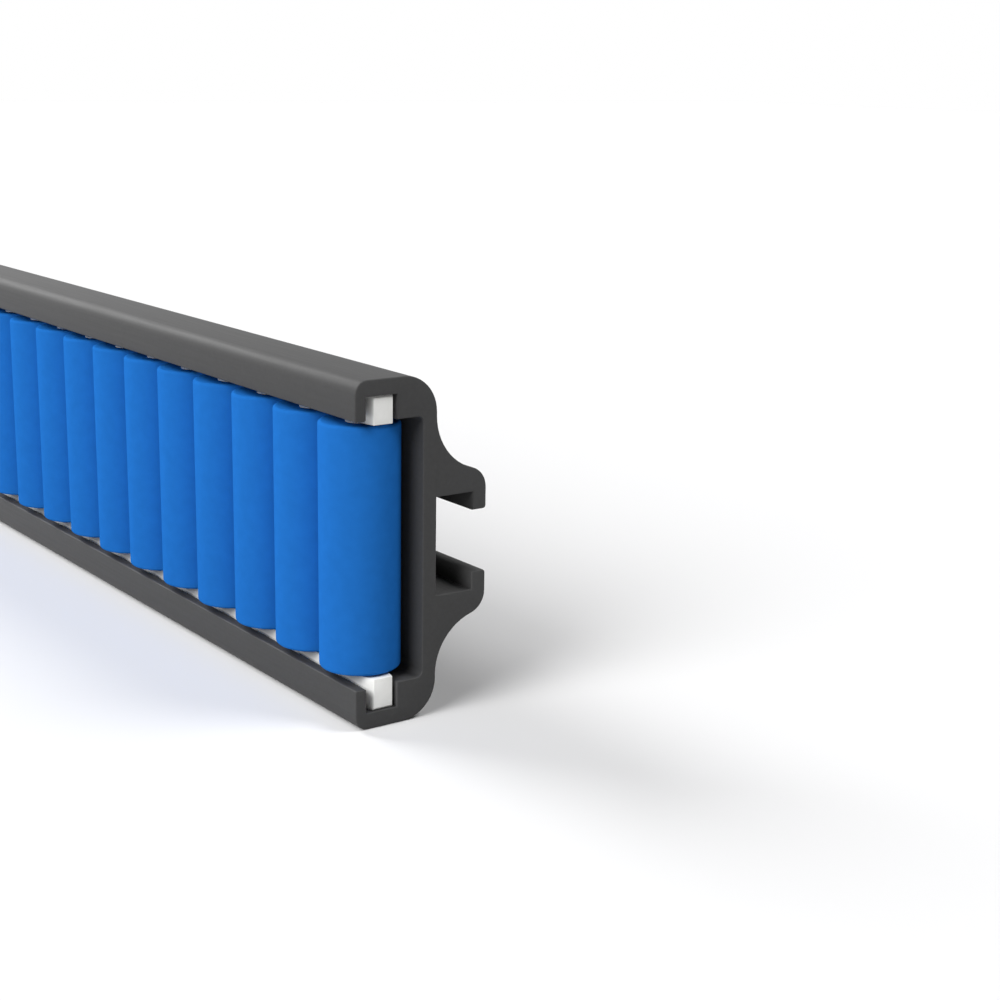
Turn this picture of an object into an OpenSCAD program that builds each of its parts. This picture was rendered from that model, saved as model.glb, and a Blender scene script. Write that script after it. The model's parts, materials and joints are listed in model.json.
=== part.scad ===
// Roller track: a C-section plastic profile standing on edge, lined with upright plain rollers.
// Each roller turns on a steel pin held top and bottom by a moulded end block in the profile.
// Frame: X runs along the track, +Y is the mounting side and +Z is up. The origin lies on the
// bottom face, below the middle of the row of roller axes.

/* [Profile] */
// Overall height of the profile
profile_h = 100; // [96:0.5:110]
// Thickness of the four lip and groove side walls
lip_t = 3.55; // [3:0.05:4.5]
// Clear width of the two block grooves
groove_w = 10.1; // [9.7:0.05:11]
// Wall between a groove and the outside
shell_t = 4.75; // [3.5:0.05:5]
// Height of the bottom front lip
bottom_lip_h = 12; // [10.5:0.05:12.5]
// Height of the top front lip
top_lip_h = 11.45; // [10.5:0.05:12]
// Rounding on the two lip edges
lip_edge = 0.5; // [0.3:0.05:1]
// Height of the thick part behind the bottom groove
bottom_rail_h = 12.25; // [11.5:0.05:13]
// Height of the thick part behind the top groove
top_rail_h = 11.8; // [11.5:0.05:13]
// Thickness of the web behind the rollers
web_t = 4.6; // [4:0.1:8]
// Outer rounding on the two back corners
back_r = 11; // [6:0.5:12]
// Rounding on the two outer front edges
front_r = 3.9; // [1:0.1:4.5]

/* [Mounting slot] */
// Clear height inside the slot
slot_h = 29; // [24:0.1:30]
// Opening between the two hooks
slot_open = 18.3; // [14:0.1:20]
// Depth of the slot from the web to the hooks
slot_depth = 12.4; // [9:0.1:14]
// Thickness of each hook
hook_t = 4.65; // [4:0.05:7]

/* [Rollers] */
// Distance between neighbouring rollers
roller_pitch = 25.4; // [24.8:0.1:28]
// Space between neighbouring rollers
roller_gap = 2; // [1:0.1:4]
// Rounding on the roller rims
roller_edge = 1.2; // [0.5:0.1:1.5]
// Space between the rollers and the web
rear_gap = 1; // [0.5:0.05:3]

/* [Pins and end blocks] */
// Pin diameter
pin_d = 6; // [5:0.1:6.8]
// Radial running clearance of a roller on its pin
pin_fit = 0.08; // [0.03:0.01:0.1]
// Height of a bottom end block, from the groove floor
bottom_block_h = 9.3; // [8.9:0.05:10.6]
// Height of a top end block, from the groove ceiling
top_block_h = 8.2; // [7.8:0.05:9.5]
// Play across the groove beside an end block
block_play = 1.85; // [1:0.05:2.2]
// Shortfall of an end block against the roller pitch
block_gap = 0.4; // [0.3:0.05:1.5]
// Width of the narrowed ends of an end block
block_end_w = 6.1; // [5:0.05:8]
// Length of the taper at each end of a block
block_taper = 4; // [3:0.1:6]
// Depth of the pin seat in a block
seat_depth = 6.4; // [5:0.1:7]

/* [Hidden] */
roller_n = 14;
// Length added by the blocks standing in the profile ends
end_inset = 0.8;
profile_l = roller_n * roller_pitch - block_gap + 2 * end_inset;
block_w = groove_w - block_play;
groove_back_y = lip_t + groove_w;
axis_y = groove_back_y - block_w / 2;
roller_d = roller_pitch - roller_gap;
web_y = axis_y + roller_d / 2 + rear_gap;
back_y = web_y + web_t;
hook_in_y = back_y + slot_depth;
hook_out_y = hook_in_y + hook_t;
mid_z = profile_h / 2;
// Large hollow curve below and above the slot and the round nose of each hook
sweep_r = 17;
nose_r = 6.5;
nose_drop = 0.9;
nose_z = mid_z - slot_h / 2 - nose_drop;
sweep_dy = back_y + sweep_r - hook_out_y + nose_r;
sweep_dz = sqrt(pow(sweep_r + nose_r, 2) - pow(sweep_dy, 2));
sweep_z = nose_z - sweep_dz;
sweep_a = 90 + asin(sweep_dy / (sweep_r + nose_r));
// The back corner always ends below the hollow curve
back_corner_r = min(back_r, sweep_z - 0.2);
corner_r = 1.8;
tip_r = 0.9;
// Vertical stack from the groove floor: block, collar, roller, collar, block
collar_h = 0.35;
collar_d = pin_d + 2.1;
axial_gap = 0.15;
foot_chamfer = 0.7;
bottom_block_z = shell_t;
top_block_z = profile_h - shell_t;
roller_z = bottom_block_z + bottom_block_h + collar_h + axial_gap;
roller_l = top_block_z - top_block_h - collar_h - axial_gap - roller_z;
pin_end_gap = 0.3;
pin_chamfer = 0.5;
seat_offset = axial_gap + seat_depth;
pin_l = roller_l + 2 * seat_offset - pin_end_gap;

// Roller positions count from the +X end
function station_x(i) = (roller_n / 2 - i + 0.5) * roller_pitch;

// Points on an arc in the section plane
function arc(cy, cz, r, a0, a1, n) =
  [for (k = [0:n]) [cy + r * cos(a0 + (a1 - a0) * k / n), cz + r * sin(a0 + (a1 - a0) * k / n)]];

function mirrored(pts) =
  [for (k = [len(pts) - 1:-1:0]) [pts[k][0], profile_h - pts[k][1]]];

// Half of the section, from the middle of the web face round to the slot floor
function half_section(lip_h, rail_h) = concat(
  arc(web_y - corner_r, rail_h + corner_r, corner_r, 360, 270, 5),
  [[groove_back_y, rail_h]],
  [[groove_back_y, shell_t]],
  [[lip_t, shell_t]],
  arc(lip_t - lip_edge, lip_h - lip_edge, lip_edge, 0, 90, 3),
  arc(lip_edge, lip_h - lip_edge, lip_edge, 90, 180, 3),
  arc(front_r, front_r, front_r, 180, 270, 5),
  arc(back_y - back_corner_r, back_corner_r, back_corner_r, 270, 360, 12),
  arc(back_y + sweep_r, sweep_z, sweep_r, 180, sweep_a, 12),
  arc(hook_out_y - nose_r, nose_z, nose_r, sweep_a - 180, 0, 8),
  arc(hook_out_y - tip_r, mid_z - slot_open / 2 - tip_r, tip_r, 0, 90, 3),
  [[hook_in_y, mid_z - slot_open / 2]],
  [[hook_in_y, mid_z - slot_h / 2]],
  [[back_y, mid_z - slot_h / 2]]
);

module profile() {
  color("#3a3b3d")
    translate([-profile_l / 2, -axis_y, 0])
      rotate([90, 0, 90])
        linear_extrude(height = profile_l)
          polygon(concat(
            half_section(bottom_lip_h, bottom_rail_h),
            mirrored(half_section(top_lip_h, top_rail_h))
          ));
}

// Plain bored roller with rounded rims
module roller(i) {
  rim = concat(
    arc(roller_d / 2 - roller_edge, roller_edge, roller_edge, 270, 360, 4),
    arc(roller_d / 2 - roller_edge, roller_l - roller_edge, roller_edge, 0, 90, 4)
  );
  bore_r = pin_d / 2 + pin_fit;
  color("#1f6fd0")
    translate([station_x(i), 0, roller_z])
      rotate_extrude($fn = 40)
        polygon(concat([[bore_r, 0]], rim, [[bore_r, roller_l]]));
}

// Plain steel pin with chamfered ends
module pin(i) {
  r = pin_d / 2;
  color("#b9bcc0")
    translate([station_x(i), 0, roller_z - seat_offset])
      rotate_extrude($fn = 24)
        polygon([
          [0, 0],
          [r - pin_chamfer, 0],
          [r, pin_chamfer],
          [r, pin_l - pin_chamfer],
          [r - pin_chamfer, pin_l],
          [0, pin_l]
        ]);
}

// Plan outline of an end block with narrowed ends
module block_plan() {
  half_l = (roller_pitch - block_gap) / 2;
  half_w = block_w / 2;
  half_end_w = block_end_w / 2;
  polygon([
    [half_l, half_end_w],
    [half_l - block_taper, half_w],
    [block_taper - half_l, half_w],
    [-half_l, half_end_w],
    [-half_l, -half_end_w],
    [block_taper - half_l, -half_w],
    [half_l - block_taper, -half_w],
    [half_l, -half_end_w]
  ]);
}

// Side outline of an end block with its foot edges cut back
module block_side(h) {
  half_l = (roller_pitch - block_gap) / 2;
  polygon([
    [foot_chamfer - half_l, 0],
    [half_l - foot_chamfer, 0],
    [half_l, foot_chamfer],
    [half_l, h],
    [-half_l, h],
    [-half_l, foot_chamfer]
  ]);
}

// Block standing on its foot: raised collar and blind pin seat on top
module end_block(h) {
  difference() {
    union() {
      intersection() {
        linear_extrude(height = h)
          block_plan();
        translate([0, block_w / 2, 0])
          rotate([90, 0, 0])
            linear_extrude(height = block_w)
              block_side(h);
      }
      translate([0, 0, h / 2])
        cylinder(h = h / 2 + collar_h, d = collar_d, $fn = 24);
    }
    translate([0, 0, h + collar_h - seat_depth])
      cylinder(h = seat_depth + 1, d = pin_d, $fn = 24);
  }
}

module bottom_block(i) {
  color("#e4e5e2")
    translate([station_x(i), 0, bottom_block_z])
      end_block(bottom_block_h);
}

module top_block(i) {
  color("#e4e5e2")
    translate([station_x(i), 0, top_block_z])
      mirror([0, 0, 1])
        end_block(top_block_h);
}

profile();
roller(1);  // roller_01
roller(2);  // roller_02
roller(3);  // roller_03
roller(4);  // roller_04
roller(5);  // roller_05
roller(6);  // roller_06
roller(7);  // roller_07
roller(8);  // roller_08
roller(9);  // roller_09
roller(10);  // roller_10
roller(11);  // roller_11
roller(12);  // roller_12
roller(13);  // roller_13
roller(14);  // roller_14
pin(1);  // pin_01
pin(2);  // pin_02
pin(3);  // pin_03
pin(4);  // pin_04
pin(5);  // pin_05
pin(6);  // pin_06
pin(7);  // pin_07
pin(8);  // pin_08
pin(9);  // pin_09
pin(10);  // pin_10
pin(11);  // pin_11
pin(12);  // pin_12
pin(13);  // pin_13
pin(14);  // pin_14
top_block(1);  // top_block_01
top_block(2);  // top_block_02
top_block(3);  // top_block_03
top_block(4);  // top_block_04
top_block(5);  // top_block_05
top_block(6);  // top_block_06
top_block(7);  // top_block_07
top_block(8);  // top_block_08
top_block(9);  // top_block_09
top_block(10);  // top_block_10
top_block(11);  // top_block_11
top_block(12);  // top_block_12
top_block(13);  // top_block_13
top_block(14);  // top_block_14
bottom_block(1);  // bottom_block_01
bottom_block(2);  // bottom_block_02
bottom_block(3);  // bottom_block_03
bottom_block(4);  // bottom_block_04
bottom_block(5);  // bottom_block_05
bottom_block(6);  // bottom_block_06
bottom_block(7);  // bottom_block_07
bottom_block(8);  // bottom_block_08
bottom_block(9);  // bottom_block_09
bottom_block(10);  // bottom_block_10
bottom_block(11);  // bottom_block_11
bottom_block(12);  // bottom_block_12
bottom_block(13);  // bottom_block_13
bottom_block(14);  // bottom_block_14
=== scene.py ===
import json
import math

import bmesh
import bpy
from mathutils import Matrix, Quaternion, Vector


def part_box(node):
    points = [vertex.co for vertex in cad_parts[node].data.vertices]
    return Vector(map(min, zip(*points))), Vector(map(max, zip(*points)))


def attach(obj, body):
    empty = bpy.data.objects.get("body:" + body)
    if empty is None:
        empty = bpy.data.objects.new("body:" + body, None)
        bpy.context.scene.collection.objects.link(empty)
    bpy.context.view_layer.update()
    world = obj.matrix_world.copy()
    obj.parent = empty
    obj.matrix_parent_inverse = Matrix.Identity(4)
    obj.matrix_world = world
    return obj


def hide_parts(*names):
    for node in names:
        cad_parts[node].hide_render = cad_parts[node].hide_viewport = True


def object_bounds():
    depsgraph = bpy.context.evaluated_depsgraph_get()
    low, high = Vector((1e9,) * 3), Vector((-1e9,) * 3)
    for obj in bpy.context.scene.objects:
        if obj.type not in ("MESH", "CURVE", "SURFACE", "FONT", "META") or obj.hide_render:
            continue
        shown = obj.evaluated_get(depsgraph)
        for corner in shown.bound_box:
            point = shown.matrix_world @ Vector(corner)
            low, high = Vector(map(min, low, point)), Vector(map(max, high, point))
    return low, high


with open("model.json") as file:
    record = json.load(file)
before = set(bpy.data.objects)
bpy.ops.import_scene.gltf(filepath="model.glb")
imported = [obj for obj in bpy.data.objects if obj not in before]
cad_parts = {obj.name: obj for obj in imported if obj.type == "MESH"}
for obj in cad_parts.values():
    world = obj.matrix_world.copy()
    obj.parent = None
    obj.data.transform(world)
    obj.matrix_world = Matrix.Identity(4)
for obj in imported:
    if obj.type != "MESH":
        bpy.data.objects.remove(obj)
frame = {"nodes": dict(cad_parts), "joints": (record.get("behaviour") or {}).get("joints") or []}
cad_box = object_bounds()

# ---------------------------------------------------------------------------------------------
# Profile
# One straight extrusion of dark grey plastic, sawn to length. Its sawn edges are eased, and
# the faces keep the faint lines that the die leaves along the track.
# ---------------------------------------------------------------------------------------------
PROFILE_GREY = (0.048, 0.048, 0.0485)
PROFILE_ROUGHNESS = 0.57
PROFILE_SPECULAR = 0.23
GRAIN_SCALE = 900
GRAIN_DETAIL = 4.0
GRAIN_SHADES = 0.05
DIE_LINE_SCALE = 1400
DIE_LINE_STRETCH = (0.02, 1, 1)
DIE_LINE_ROUGHNESS = (0.54, 0.60)
DIE_LINE_DEPTH = 0.0000015
SAWN_EASE = 0.0004
SAWN_STEPS = 4
SMOOTH_ANGLE = math.radians(32)
FLAT_ANGLE = math.radians(0.5)
WELD = 1e-6
NEAR = 1e-5
FINE_DETAIL = 2.0
NOISE_LOW, NOISE_HIGH = 0.3, 0.7
# Sockets of a Mix node that blends two colours.
MIX_FACTOR, MIX_DARK, MIX_LIGHT, MIX_RESULT = 0, 6, 7, 2


def new_piece(name, mesh):
    """A piece with the given mesh, selected alone."""
    piece = bpy.data.objects.new(name, mesh)
    bpy.context.scene.collection.objects.link(piece)
    bpy.ops.object.select_all(action="DESELECT")
    bpy.context.view_layer.objects.active = piece
    piece.select_set(True)
    return piece


def copy_of_node(node, name):
    """A merged copy of a CAD node, with its flat faces joined again."""
    piece = new_piece(name, frame["nodes"][node].data.copy())
    piece.data.materials.clear()
    bpy.ops.object.mode_set(mode="EDIT")
    bpy.ops.mesh.select_all(action="SELECT")
    bpy.ops.mesh.remove_doubles(threshold=WELD)
    bpy.ops.mesh.dissolve_limited(angle_limit=FLAT_ANGLE)
    bpy.ops.mesh.select_all(action="DESELECT")
    bpy.ops.object.mode_set(mode="OBJECT")
    return piece


def ease_edges(piece, width, steps, wanted):
    """Rounds the edges that wanted(edge) picks."""
    bpy.ops.object.mode_set(mode="EDIT")
    bpy.ops.mesh.select_mode(type="EDGE")
    mesh = bmesh.from_edit_mesh(piece.data)
    for edge in mesh.edges:
        edge.select = wanted(edge)
    bmesh.update_edit_mesh(piece.data)
    bpy.ops.mesh.bevel(offset=width, segments=steps, profile=0.5, clamp_overlap=False)
    bpy.ops.object.mode_set(mode="OBJECT")


def new_material(name, colour, roughness):
    """A plain shader and Object coordinates, to which each finish adds its own detail."""
    material = bpy.data.materials.new(name)
    material.use_nodes = True
    material.diffuse_color = (*colour, 1)
    nodes = material.node_tree.nodes
    shader = nodes["Principled BSDF"]
    shader.inputs["Base Color"].default_value = (*colour, 1)
    shader.inputs["Roughness"].default_value = roughness
    return material, shader, nodes.new("ShaderNodeTexCoord")


def noise(material, place, scale, detail, stretch=(1, 1, 1)):
    """Noise on Object coordinates, stretched along the axes."""
    nodes, links = material.node_tree.nodes, material.node_tree.links
    mapping = nodes.new("ShaderNodeMapping")
    mapping.inputs["Scale"].default_value = stretch
    texture = nodes.new("ShaderNodeTexNoise")
    texture.inputs["Scale"].default_value = scale
    texture.inputs["Detail"].default_value = detail
    links.new(place.outputs["Object"], mapping.inputs["Vector"])
    links.new(mapping.outputs["Vector"], texture.inputs["Vector"])
    return texture.outputs["Fac"]


def spread(material, value, low, high):
    """Maps the middle of a noise onto a range of values."""
    node = material.node_tree.nodes.new("ShaderNodeMapRange")
    node.inputs["From Min"].default_value = NOISE_LOW
    node.inputs["From Max"].default_value = NOISE_HIGH
    node.inputs["To Min"].default_value = low
    node.inputs["To Max"].default_value = high
    material.node_tree.links.new(value, node.inputs["Value"])
    return node.outputs["Result"]


def tint(material, shader, value, dark, light):
    """Blends two colours of the finish by a value."""
    mix = material.node_tree.nodes.new("ShaderNodeMix")
    mix.data_type = "RGBA"
    mix.inputs[MIX_DARK].default_value = (*dark, 1)
    mix.inputs[MIX_LIGHT].default_value = (*light, 1)
    material.node_tree.links.new(value, mix.inputs[MIX_FACTOR])
    material.node_tree.links.new(mix.outputs[MIX_RESULT], shader.inputs["Base Color"])


def mottle(material, shader, value, colour, share):
    """Lets a noise lighten and darken the colour by a share of it."""
    dark, light = (tuple(c * k for c in colour) for k in (1 - share, 1 + share))
    tint(material, shader, spread(material, value, 0, 1), dark, light)


def roughen(material, shader, value, low, high):
    """Lets a noise vary the roughness between two values."""
    rough = spread(material, value, low, high)
    material.node_tree.links.new(rough, shader.inputs["Roughness"])


def bump(material, shader, value, depth):
    """Lets a noise raise the surface by a depth in metres."""
    node = material.node_tree.nodes.new("ShaderNodeBump")
    node.inputs["Strength"].default_value = 1.0
    node.inputs["Distance"].default_value = depth
    material.node_tree.links.new(value, node.inputs["Height"])
    material.node_tree.links.new(node.outputs["Normal"], shader.inputs["Normal"])


profile = copy_of_node("profile", "profile_shell")
end_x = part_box("profile")[1].x


def is_sawn(edge):
    """True for the edges of the two sawn faces, and not for the long ones between them."""
    first, second = (v.co.x for v in edge.verts)
    return abs(first - second) < NEAR and all(abs(abs(x) - end_x) < NEAR for x in (first, second))


ease_edges(profile, SAWN_EASE, SAWN_STEPS, is_sawn)
bpy.ops.object.shade_smooth_by_angle(angle=SMOOTH_ANGLE)

plastic, shader, place = new_material("extruded_grey_plastic", PROFILE_GREY, PROFILE_ROUGHNESS)
shader.inputs["Specular IOR Level"].default_value = PROFILE_SPECULAR
grain = noise(plastic, place, GRAIN_SCALE, GRAIN_DETAIL)
die_lines = noise(plastic, place, DIE_LINE_SCALE, FINE_DETAIL, DIE_LINE_STRETCH)
mottle(plastic, shader, grain, PROFILE_GREY, GRAIN_SHADES)
roughen(plastic, shader, die_lines, *DIE_LINE_ROUGHNESS)
bump(plastic, shader, die_lines, DIE_LINE_DEPTH)
profile.data.materials.append(plastic)
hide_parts("profile")
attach(profile, "track")

# ---------------------------------------------------------------------------------------------
# Rollers
# Plain moulded tubes in blue plastic, with rounded rims and a shallow recess in each end, that
# turn on their pins. Faint rings run round the wall, too fine to feel.
# ---------------------------------------------------------------------------------------------
ROLLER_BLUE = (0.0150, 0.143, 0.490)
ROLLER_ROUGHNESS = 0.36
ROLLER_SPECULAR = 0.0
CLOUD_SCALE = 260
CLOUD_DETAIL = 3.0
CLOUD_SHADES = 0.035
RING_SCALE = 500
RING_STRETCH = (0.05, 0.05, 1)
RING_ROUGHNESS = (0.33, 0.40)
RING_DEPTH = 0.000002
ROLLER_SIDES = 96
ROLLER_RIM = 0.0012
RIM_STEPS = 5
RIM_SHARE = 0.99
END_FACE = 0.9
BORE_GAP = 0.00008
RECESS_RADIUS = 0.0053
RECESS_DEPTH = 0.0008
pin_low, pin_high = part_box("pin_01")
bore_radius = (pin_high.x - pin_low.x) / 2 + BORE_GAP

blue, shader, place = new_material("moulded_blue_plastic", ROLLER_BLUE, ROLLER_ROUGHNESS)
shader.inputs["Specular IOR Level"].default_value = ROLLER_SPECULAR
clouds = noise(blue, place, CLOUD_SCALE, CLOUD_DETAIL)
rings = noise(blue, place, RING_SCALE, FINE_DETAIL, RING_STRETCH)
mottle(blue, shader, clouds, ROLLER_BLUE, CLOUD_SHADES)
roughen(blue, shader, rings, *RING_ROUGHNESS)
bump(blue, shader, rings, RING_DEPTH)


# The first roller is a cylinder in the place of its CAD solid. Each of its end faces is inset to
# the recess, sunk and inset to the bore, which joins the two ends.
roller_names = [joint["child"] for joint in frame["joints"]]
low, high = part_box(roller_names[0])
centre, length = (low + high) / 2, high.z - low.z
radius = min(high.x - low.x, high.y - low.y) / 2
bpy.ops.object.select_all(action="DESELECT")
bpy.ops.mesh.primitive_cylinder_add(
    vertices=ROLLER_SIDES, radius=radius, depth=length, location=centre, end_fill_type="NGON"
)
first_roller = bpy.context.active_object
first_roller.name = roller_names[0].replace("roller", "blue_roller")
bpy.ops.object.transform_apply(location=True, rotation=True, scale=True)
bpy.ops.object.mode_set(mode="EDIT")
bpy.ops.mesh.select_mode(type="FACE")
mesh = bmesh.from_edit_mesh(first_roller.data)
for face in mesh.faces:
    face.select = abs(face.normal.z) > END_FACE
bmesh.update_edit_mesh(first_roller.data)
bpy.ops.mesh.inset(thickness=radius - RECESS_RADIUS, use_individual=True)
bpy.ops.transform.resize(value=(1, 1, 1 - 2 * RECESS_DEPTH / length), center_override=centre)
bpy.ops.mesh.inset(thickness=RECESS_RADIUS - bore_radius, use_individual=True)
bpy.ops.mesh.bridge_edge_loops()
bpy.ops.object.mode_set(mode="OBJECT")


def is_rim(edge):
    """True for the outer edges of the two end faces."""
    first, second = edge.verts
    level = abs(first.co.z - second.co.z) < NEAR
    return level and all((v.co - centre).xy.length > radius * RIM_SHARE for v in edge.verts)


ease_edges(first_roller, ROLLER_RIM, RIM_STEPS, is_rim)
bpy.ops.object.shade_smooth_by_angle(angle=SMOOTH_ANGLE)
first_roller.data.materials.append(blue)


def copy_along(model, first, node, name):
    """A copy of the first piece in a row, with its own mesh, in the place of another node."""
    piece = new_piece(name, model.data.copy())
    piece.location.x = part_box(node)[0].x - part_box(first)[0].x
    bpy.ops.object.transform_apply(location=True)
    return piece


for name in roller_names:
    piece = first_roller
    if name != roller_names[0]:
        new_name = name.replace("roller", "blue_roller")
        piece = copy_along(first_roller, roller_names[0], name, new_name)
    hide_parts(name)
    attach(piece, name)

# ---------------------------------------------------------------------------------------------
# Pins
# Short rods of drawn steel, cut to length and chamfered. Each runs through a roller and sits in
# the seats of its two end blocks. They stay as the CAD solids, with a drawn finish.
# ---------------------------------------------------------------------------------------------
STEEL = (0.56, 0.57, 0.58)
STEEL_ROUGHNESS = 0.3
DRAW_LINE_SCALE = 2500
DRAW_LINE_STRETCH = (1, 1, 0.01)
DRAW_LINE_SHADES = 0.1
DRAW_LINE_ROUGHNESS = (0.24, 0.38)

steel, shader, place = new_material("drawn_steel", STEEL, STEEL_ROUGHNESS)
shader.inputs["Metallic"].default_value = 1.0
draw_lines = noise(steel, place, DRAW_LINE_SCALE, FINE_DETAIL, DRAW_LINE_STRETCH)
mottle(steel, shader, draw_lines, STEEL, DRAW_LINE_SHADES)
roughen(steel, shader, draw_lines, *DRAW_LINE_ROUGHNESS)
for name, node in frame["nodes"].items():
    if name.startswith("pin_"):
        node.data.materials.clear()
        node.data.materials.append(steel)

# ---------------------------------------------------------------------------------------------
# End blocks
# Small off-white mouldings, one under and one over each roller, pushed into the grooves in a
# row. Their edges are rounded by the mould, and their collars reach into the rollers' recesses.
# ---------------------------------------------------------------------------------------------
BLOCK_WHITE = (0.92, 0.92, 0.895)
BLOCK_ROUGHNESS = 0.45
BLOCK_SPECULAR = 0.3
FLOW_SCALE = 300
FLOW_DETAIL = 3.0
FLOW_SHADES = 0.025
SKIN_SCALE = 4000
SKIN_ROUGHNESS = (0.42, 0.5)
SKIN_DEPTH = 0.000003
BLOCK_EDGE = 0.00018
BLOCK_STEPS = 3
SHARP_ANGLE = math.radians(40)
FACET_LENGTH = 0.0015
COLLAR_REACH = 0.00065

white, shader, place = new_material("moulded_white_plastic", BLOCK_WHITE, BLOCK_ROUGHNESS)
shader.inputs["Specular IOR Level"].default_value = BLOCK_SPECULAR
flow = noise(white, place, FLOW_SCALE, FLOW_DETAIL)
skin = noise(white, place, SKIN_SCALE, FINE_DETAIL)
mottle(white, shader, flow, BLOCK_WHITE, FLOW_SHADES)
roughen(white, shader, skin, *SKIN_ROUGHNESS)
bump(white, shader, skin, SKIN_DEPTH)


def is_moulded_edge(edge):
    """True for the straight sharp edges, and not for the facets of the collar and the seat."""
    sharp = len(edge.link_faces) == 2 and edge.calc_face_angle() > SHARP_ANGLE
    return sharp and edge.calc_length() > FACET_LENGTH


for row, inward in (("bottom_block", 1), ("top_block", -1)):
    names = [name for name in sorted(frame["nodes"]) if name.startswith(row)]
    first_block = copy_of_node(names[0], names[0].replace("block", "end_block"))
    tip = max(inward * v.co.z for v in first_block.data.vertices)
    for v in first_block.data.vertices:
        if tip - inward * v.co.z < NEAR:
            v.co.z += inward * COLLAR_REACH
    ease_edges(first_block, BLOCK_EDGE, BLOCK_STEPS, is_moulded_edge)
    bpy.ops.object.shade_smooth_by_angle(angle=SMOOTH_ANGLE)
    first_block.data.materials.append(white)
    for name in names:
        block = first_block
        if name != names[0]:
            block = copy_along(first_block, names[0], name, name.replace("block", "end_block"))
        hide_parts(name)
        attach(block, "track")

# ---------------------------------------------------------------------------------------------
# Studio
# A wide white floor in a white room, which shows bright but throws little light back. Soft
# lamps stand in front, to the left, overhead and behind, and the camera looks along the track.
# ---------------------------------------------------------------------------------------------
FLOOR_WHITE = (0.80, 0.80, 0.805)
FLOOR_BOUNCE = (0.60, 0.60, 0.60)
FLOOR_ROUGHNESS = 0.8
FLOOR_SIZE = 12.0
FLOOR_DROP = 0.0001
ROOM_WHITE = (1, 1, 1, 1)
ROOM_SEEN = 1.0
ROOM_LIGHT = 0.05


def seen_ray(tree):
    """1 for the rays that show the surroundings, and 0 for the light that bounces off them."""
    rays = tree.nodes.new("ShaderNodeLightPath")
    seen = rays.outputs["Is Camera Ray"]
    for kind in ("Is Glossy Ray", "Is Transmission Ray"):
        either = tree.nodes.new("ShaderNodeMath")
        either.operation = "MAXIMUM"
        tree.links.new(seen, either.inputs[0])
        tree.links.new(rays.outputs[kind], either.inputs[1])
        seen = either.outputs[0]
    return seen


bpy.ops.object.select_all(action="DESELECT")
bpy.ops.mesh.primitive_plane_add(size=FLOOR_SIZE, location=(0, 0, cad_box[0].z - FLOOR_DROP))
floor = bpy.context.active_object
floor.name = "floor"
bpy.ops.object.transform_apply(location=True)
paint, shader, place = new_material("floor_paint", FLOOR_WHITE, FLOOR_ROUGHNESS)
shader.inputs["Specular IOR Level"].default_value = 0.0
tint(paint, shader, seen_ray(paint.node_tree), FLOOR_BOUNCE, FLOOR_WHITE)
floor.data.materials.append(paint)

world = bpy.data.worlds.new("studio")
bpy.context.scene.world = world
world.use_nodes = True
nodes, links = world.node_tree.nodes, world.node_tree.links
room = nodes["Background"]
room.inputs["Color"].default_value = ROOM_WHITE
room.inputs["Strength"].default_value = ROOM_LIGHT
sky = nodes.new("ShaderNodeBackground")
sky.inputs["Color"].default_value = ROOM_WHITE
sky.inputs["Strength"].default_value = ROOM_SEEN
choose = nodes.new("ShaderNodeMixShader")
links.new(seen_ray(world.node_tree), choose.inputs[0])
links.new(room.outputs[0], choose.inputs[1])
links.new(sky.outputs[0], choose.inputs[2])
links.new(choose.outputs[0], nodes["World Output"].inputs["Surface"])

# Name, direction to the lamp, power and angular width of each lamp.
LAMPS = (
    ("front_lamp", Vector((0.16, -0.81, 0.56)), 2.90, math.radians(38)),
    ("left_lamp", Vector((-0.79, -0.24, 0.57)), 1.90, math.radians(28)),
    ("top_lamp", Vector((0.00, -0.34, 0.94)), 0.10, math.radians(40)),
    ("back_lamp", Vector((0.38, 0.45, 0.81)), 1.30, math.radians(25)),
)
for name, direction, power, width in LAMPS:
    sun = bpy.data.lights.new(name, "SUN")
    sun.energy = power
    sun.angle = width
    lamp = bpy.data.objects.new(name, sun)
    lamp.rotation_euler = direction.to_track_quat("Z", "Y").to_euler()
    bpy.context.scene.collection.objects.link(lamp)

CAMERA_PLACE = Vector((0.58144, -0.25651, 0.18426))
CAMERA_YAW = math.radians(36.276)
CAMERA_DIP = math.radians(13.866)
CAMERA_ROLL = math.radians(0.983)
CAMERA_LENS = 64.2
view = Vector(
    (
        -math.cos(CAMERA_YAW) * math.cos(CAMERA_DIP),
        math.sin(CAMERA_YAW) * math.cos(CAMERA_DIP),
        -math.sin(CAMERA_DIP),
    )
)
level_view = view.to_track_quat("-Z", "Y")
camera_data = bpy.data.cameras.new("camera")
camera_data.lens = CAMERA_LENS
camera = bpy.data.objects.new("camera", camera_data)
camera.location = CAMERA_PLACE
camera.rotation_mode = "QUATERNION"
camera.rotation_quaternion = Quaternion(view, -CAMERA_ROLL) @ level_view
bpy.context.scene.collection.objects.link(camera)
bpy.context.scene.camera = camera
bpy.context.scene.view_settings.view_transform = "Standard"
